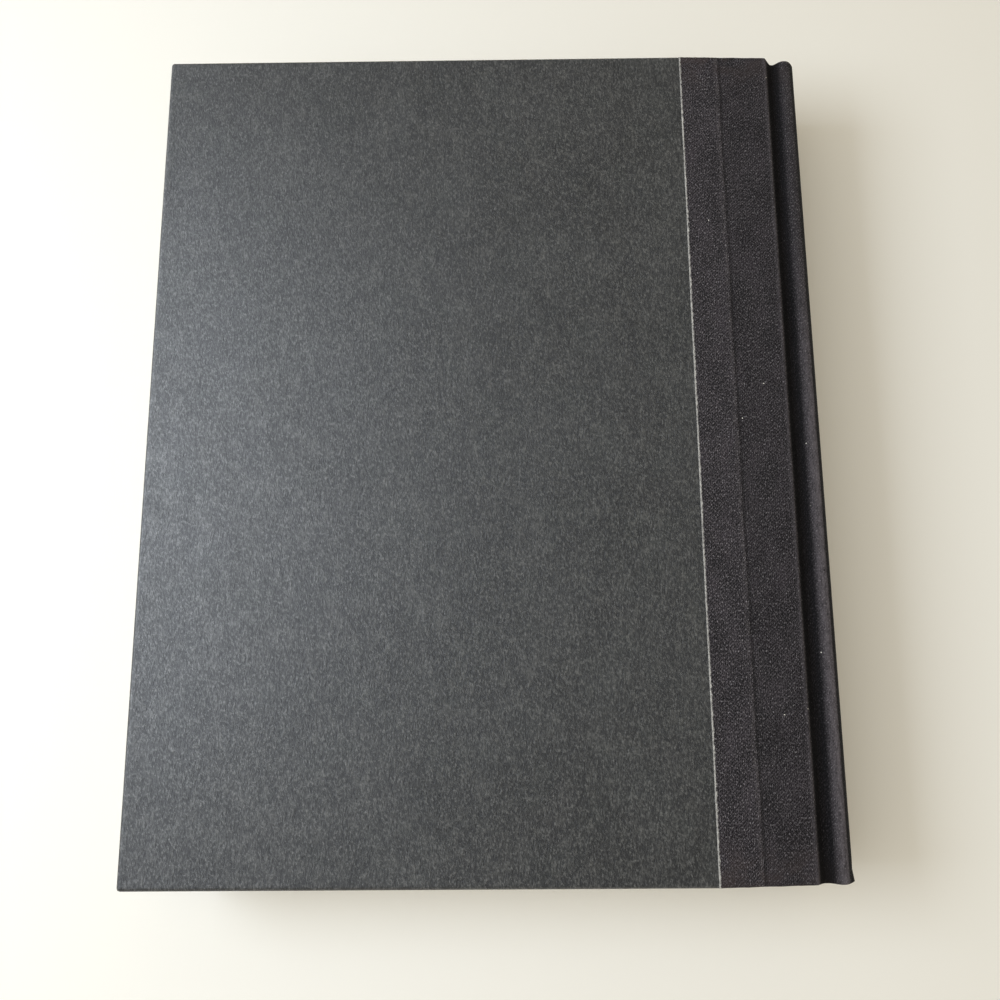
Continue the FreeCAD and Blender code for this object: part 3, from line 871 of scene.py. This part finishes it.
def pages(name):
    """Each leaf is a curve from the fore-edge to the back. Its height is its share of the flat thickness,
    plus the shoulder's rise times the share to the power 2.5, so the outer leaves bend most. It starts on
    the hollow fore-edge and ends on the round back, and stands out or in by its own few hundredths of a
    millimetre, with each folded section a little apart from the next."""
    flat = FLAT - LEAF
    random = np.random.default_rng(21)
    share_edges = np.linspace(-1, 1, LEAVES + 1)
    from_share, to_share = share_edges[:-1] + 0.0001, share_edges[1:] - 0.0008  # a hair's gap between
    share = np.stack([from_share, to_share], axis=1).reshape(-1)
    leaf = np.repeat(np.arange(LEAVES), 2)
    section = leaf // SECTION_LEAVES
    stand = {
        edge: (random.normal(0, 0.022, LEAVES)[leaf] + random.normal(0, 0.03, LEAVES)[section]) * MM
        for edge in ("fore", "head", "tail")
    }
    share[0], share[-1] = -1, 1
    swell = share * np.abs(share) ** 1.5
    end_z = np.abs(share * flat + swell * RISE)
    tip_radius, back_radius = TIP_RADIUS - LEAF, BACK_RADIUS - LEAF
    on_tip = CREST_X + np.sqrt(np.clip(tip_radius**2 - np.clip(end_z - TIP_Z, 0, None) ** 2, 0, None))
    on_back = BACK_X + np.sqrt(back_radius**2 - end_z**2)
    end_x = np.where(end_z > back_radius * math.sin(BACK_ANGLE), on_tip, on_back)
    hollow_radius = (flat**2 + BACK_ROUND**2) / (2 * BACK_ROUND)
    start_x = PAGE_FORE_X + BACK_ROUND - hollow_radius + np.sqrt(hollow_radius**2 - (share * flat) ** 2)
    start_x = start_x + np.minimum(stand["fore"], 0.05 * MM)

    w = np.concatenate([np.linspace(0, 0.95, 12)[:-1], np.linspace(0.95, 1, 15)])
    v = np.linspace(-1, 1, 9)
    head = PAGE_HALF - 0.05 * MM + np.minimum(stand["head"], 0.05 * MM)
    tail = -PAGE_HALF + 0.05 * MM - np.minimum(stand["tail"], 0.05 * MM)

    def at(w, v):
        """Leaves as rows, places on a leaf as columns: w across from fore-edge to back, v up the height."""
        x = start_x[:, None] + (end_x - start_x)[:, None] * w
        y = (tail + head)[:, None] / 2 + (head - tail)[:, None] / 2 * v
        foot = FOOT_RADIUS + LEAF
        on_foot = foot - np.sqrt(np.clip(foot**2 - np.clip(x - FOOT_X, 0, None) ** 2, 0, None))
        near_tip = np.clip(CREST_X - x, 0, tip_radius)
        on_crest = RISE - tip_radius + np.sqrt(tip_radius**2 - near_tip**2)
        turn_x = FOOT_X + foot * math.sin(SLOPE)
        rise = np.where(x < turn_x, on_foot, on_crest)
        return placed(x, y, share[:, None] * flat + swell[:, None] * rise, 1)

    loop_w = np.concatenate([w, np.ones(len(v) - 2), w[::-1], np.zeros(len(v) - 1)])
    loop_v = np.concatenate([np.full(len(w), -1.0), v[1:-1], np.full(len(w), 1.0), v[::-1][1:]])
    sides = at(loop_w[None, :], loop_v[None, :])
    along = arc_lengths(sides[0])
    through = (share[:, None] + 1) / 2
    uv_sides = np.stack(np.broadcast_arrays(along, through), axis=-1)
    grid_w, grid_v = (g.reshape(-1) for g in np.meshgrid(w, v, indexing="ij"))
    whole = at(grid_w[None, :], grid_v[None, :])
    caps = [(whole[row].reshape(len(w), len(v), 3), False) for row in (0, -1)]
    cap_uvs = [np.zeros((len(w), len(v), 2))] * 2
    piece = make_piece(name, [(sides, False)] + caps, uvs=[uv_sides] + cap_uvs, closed=True)
    return sharp_edges(piece, 40)


# ---- The bands ----


def band(name, end):
    """A bead of thread wound on a cord, lying on the pages' head or tail along the round back, over a tape
    glued down the back. The bead's radius goes in and out once for each turn of thread, and closes towards
    both ends, while the bead stays against the pages and level with the tape."""
    back_radius = BACK_RADIUS - LEAF
    theta = np.linspace(-BACK_ANGLE, BACK_ANGLE, BAND_TURNS * 5 + 1)
    phase = np.linspace(0, BAND_TURNS, BAND_TURNS * 5 + 1)
    ribs = 1 - 0.10 * np.abs(np.cos(math.pi * phase)) ** 3
    closing = np.sqrt(np.clip(1 - (np.abs(theta) / BACK_ANGLE) ** 8, 0, 1))
    radius = (0.85 * BAND_BEAD * ribs * closing)[:, None]
    phi = np.linspace(0, 2 * math.pi, 16, endpoint=False)
    reach = back_radius + BAND_TAPE - radius * (1 - np.cos(phi))
    y = end * (PAGE_HALF + radius * (1 + np.sin(phi)))
    bead = placed(BACK_X + reach * np.cos(theta)[:, None], y, reach * np.sin(theta)[:, None], 1)
    wound = np.stack(np.broadcast_arrays(phi, phase[:, None]), axis=-1)

    radii = back_radius + np.array([0.02, 0.02, 1, 1]) * BAND_TAPE
    base_y = PAGE_HALF - (BAND_HIGH[1] - BAND_LOW[1] - 2 * BAND_BEAD)
    top_y = PAGE_HALF + 0.3 * BAND_BEAD
    tape = bent_strip(radii, end * np.array([base_y, top_y, top_y, base_y]))
    unwound = [np.full((*grid.shape[:2], 2), 0.25) for grid, _ in tape]
    return make_piece(name, [(bead, True)] + tape, uvs=[wound] + unwound, closed=True)


# ---- Putting the book together ----


def dress(piece, material, slot, body, *nodes):
    """Gives a piece its finish, sets it on its body, and hides the solids it stands for. The record slot is
    not used.
    """
    piece.data.materials.clear()
    piece.data.materials.append(material)
    if nodes:
        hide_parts(*nodes)
    if body:
        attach(piece, body)
    return piece


def finish_node(node, material):
    """A carried-over solid keeps its shape and takes a new finish."""
    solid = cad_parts[node]
    solid.data.materials.clear()
    solid.data.materials.append(material)


def make_book():
    """Every piece of the book, with its finish and the solids that it stands for."""
    paper, cloth, leaves, ends = side_paper_finish(), cloth_finish(), leaf_edge_finish(), endpaper_finish()
    grey = plain_finish("greyboard", (118, 112, 100), (150, 143, 129), (0.8, 1.4, 0.8), 0.03)
    kraft = plain_finish("kraft_paper", (150, 112, 72), (178, 140, 96), (0.4, 2, 0.4), 0.02)
    card = plain_finish("card", (164, 156, 138), (184, 177, 160), (0.6, 1, 0.6), 0.02)
    mull = plain_finish("mull", (196, 188, 168), (226, 220, 204), (0.5, 0.5, 0.5), 0.08, weave=1.3)
    thread = band_finish()

    flat = (float(arc_lengths(cloth_section()[0])[-1]), 2 * float(CLOTH_HALF + TURN_IN))
    bend = [(CREST_X + place, 0, MIDDLE_Z) for place in CLOTH_BEND]
    for side, cover in ((1, "back"), (-1, "front")):
        body = cover + "_cover"
        seed = 30 if side > 0 else 70
        covering = thickened(side_paper(cover + "_paper_side", side, seed), 0.9 * PAPER)
        dress(covering, paper, "side_paper", body, cover + "_side_paper")
        strip = half_cloth(cover + "_binding_cloth", side, seed)
        dress(strip, cloth, "binding_cloth", None, cover + "_joint_cloth", "spine_cloth")
        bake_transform(strip)
        thickened(strip, 0.85 * CLOTH)
        dress(pastedown(cover + "_pasted_leaf", side), ends, "endpaper", body, cover + "_pastedown")
        dress(flyleaf(cover + "_free_leaf", side), ends, "endpaper", "block", cover + "_flyleaf")
        fold = endpaper_fold(cover + "_endpaper_fold", side)
        dress(fold, ends, "endpaper", None)
        inner, outer = FLAT + RISE + 0.05 * MM, FLAT + RISE + PASTEDOWN_UNDER - 0.05 * MM
        MIDDLE_Z + side * inner
        MIDDLE_Z + side * outer
        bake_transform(fold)
        dress(board(cover + "_grey_board", side), grey, "greyboard", body, cover + "_board")
        finish_node(cover + "_mull_flange", mull)

    dress(pages("pages"), leaves, "page_paper", "block", "text_block")
    dress(band("head_band_thread", 1), thread, "band", "block", "head_band")
    dress(band("tail_band_thread", -1), thread, "band", "block", "tail_band")
    finish_node("mull", mull)
    finish_node("spine_lining", kraft)
    dress(spine_card("spine_card"), card, "card", "block", "spine_inlay")


# ---- Floor, light and camera ----


def make_floor():
    """A plain pale table top, in one slow tone. The camera sees it paler than it lights the book."""
    f = Finish("table", roughness=0.7, specular=0.2)
    tone = f.grain(stretch=(900, 900, 900), detail=1)
    lights = f.mix(tone, (220, 219, 216), (228, 227, 225))
    seen = f.mix(tone, (248, 247, 242), (253, 252, 248))
    paint = f.done(f.mix(f.node("ShaderNodeLightPath").output("Is Camera Ray"), lights, seen))
    reach = 3.0
    corners = np.array([[-1, -1], [-1, 1], [1, -1], [1, 1]]) * reach
    height = np.full((4, 1), CAD_BOX[0][2] - TABLE_GAP)
    top = np.concatenate([corners, height], axis=1).reshape(2, 2, 3)
    table = make_piece("table", [(top, False)], flip=True)
    table.data.materials.append(paint)


def panel(name, place, across, along, energy, tint, lights=True, gleams=True):
    """A rectangular lamp, turned to face the middle of the book's underside. It lights what it falls on,
    and gleams on it, unless told not to."""
    lamp = bpy.data.lights.new(name, "AREA")
    lamp.shape = "RECTANGLE"
    lamp.size, lamp.size_y = across, along
    lamp.energy = energy
    lamp.color = tint
    holder = bpy.data.objects.new(name, lamp)
    bpy.context.collection.objects.link(holder)
    holder.location = place
    holder.visible_diffuse = lights
    holder.visible_glossy = gleams
    look = -np.array(place) / np.linalg.norm(place)
    holder.rotation_euler = (math.acos(-look[2]), 0, math.atan2(look[0], -look[1]) + math.pi)


def make_light():
    """A soft window lamp at the left, with its gleam apart from its light, and a broad panel high up."""
    panel("window", (-0.445, 0.005, 0.455), 0.36, 0.26, 2.15, (0.85, 0.935, 1.03), gleams=False)
    panel("window_gleam", (-0.43, 0.09, 0.47), 0.46, 0.38, 2.95, (0.86, 0.93, 1.035), lights=False)
    panel("ceiling", (-0.5, -0.12, 1.1), 0.9, 0.9, 2.75, (0.90, 0.95, 1.02), gleams=False)


def make_surround():
    """A dim warm light from all round, which the camera and the shiny surfaces see as pale walls under a
    dark ceiling."""
    warm, wall, overhead = (1.0, 0.90, 0.71, 1), (0.84, 0.83, 0.80, 1), (0.15, 0.147, 0.14, 1)
    world = bpy.data.worlds.new("surround")
    bpy.context.scene.world = world
    world.use_nodes = True
    world.node_tree.nodes.clear()
    n = Nodes(world.node_tree)
    rising = n.parts(n.node("ShaderNodeTexCoord").output("Generated"))[2].between(0.1, 0.7)
    shade = n.node("ShaderNodeMix", {"data_type": "RGBA"}, {0: rising, 6: wall, 7: overhead}, output=2)
    path = n.node("ShaderNodeLightPath")
    kinds = [path.output(kind) for kind in ("Is Camera Ray", "Is Glossy Ray", "Is Transmission Ray")]
    looks = (kinds[0] + kinds[1] + kinds[2]).between(0, 1)
    glow = n.node("ShaderNodeBackground", values={"Color": warm, "Strength": 0.54})
    room = n.node("ShaderNodeBackground", values={"Color": shade, "Strength": 1.0})
    seen = n.node("ShaderNodeMixShader", values={0: looks, 1: glow, 2: room})
    out = world.node_tree.nodes.new("ShaderNodeOutputWorld")
    world.node_tree.links.new(seen.socket, out.inputs["Surface"])


def make_camera():
    """Almost straight down, over the tail half of the book."""
    from_fore_edge, from_tail, above_cover = 110.5 * MM, 49.1 * MM, 294 * MM
    tilt = (11.83, 0.57, -0.41)
    camera = bpy.data.cameras.new("camera")
    camera.lens, camera.sensor_width = 36, 36
    holder = bpy.data.objects.new("camera", camera)
    bpy.context.collection.objects.link(holder)
    x, y = PAPER_LOW[0] + from_fore_edge, PAPER_LOW[1] + from_tail
    holder.location = (x, y, PAPER_HIGH[2] + above_cover)
    holder.rotation_euler = tuple(math.radians(angle) for angle in tilt)
    bpy.context.scene.camera = holder


make_camera()
make_light()
make_surround()
make_floor()
make_book()
bpy.context.scene.view_settings.view_transform = "Standard"
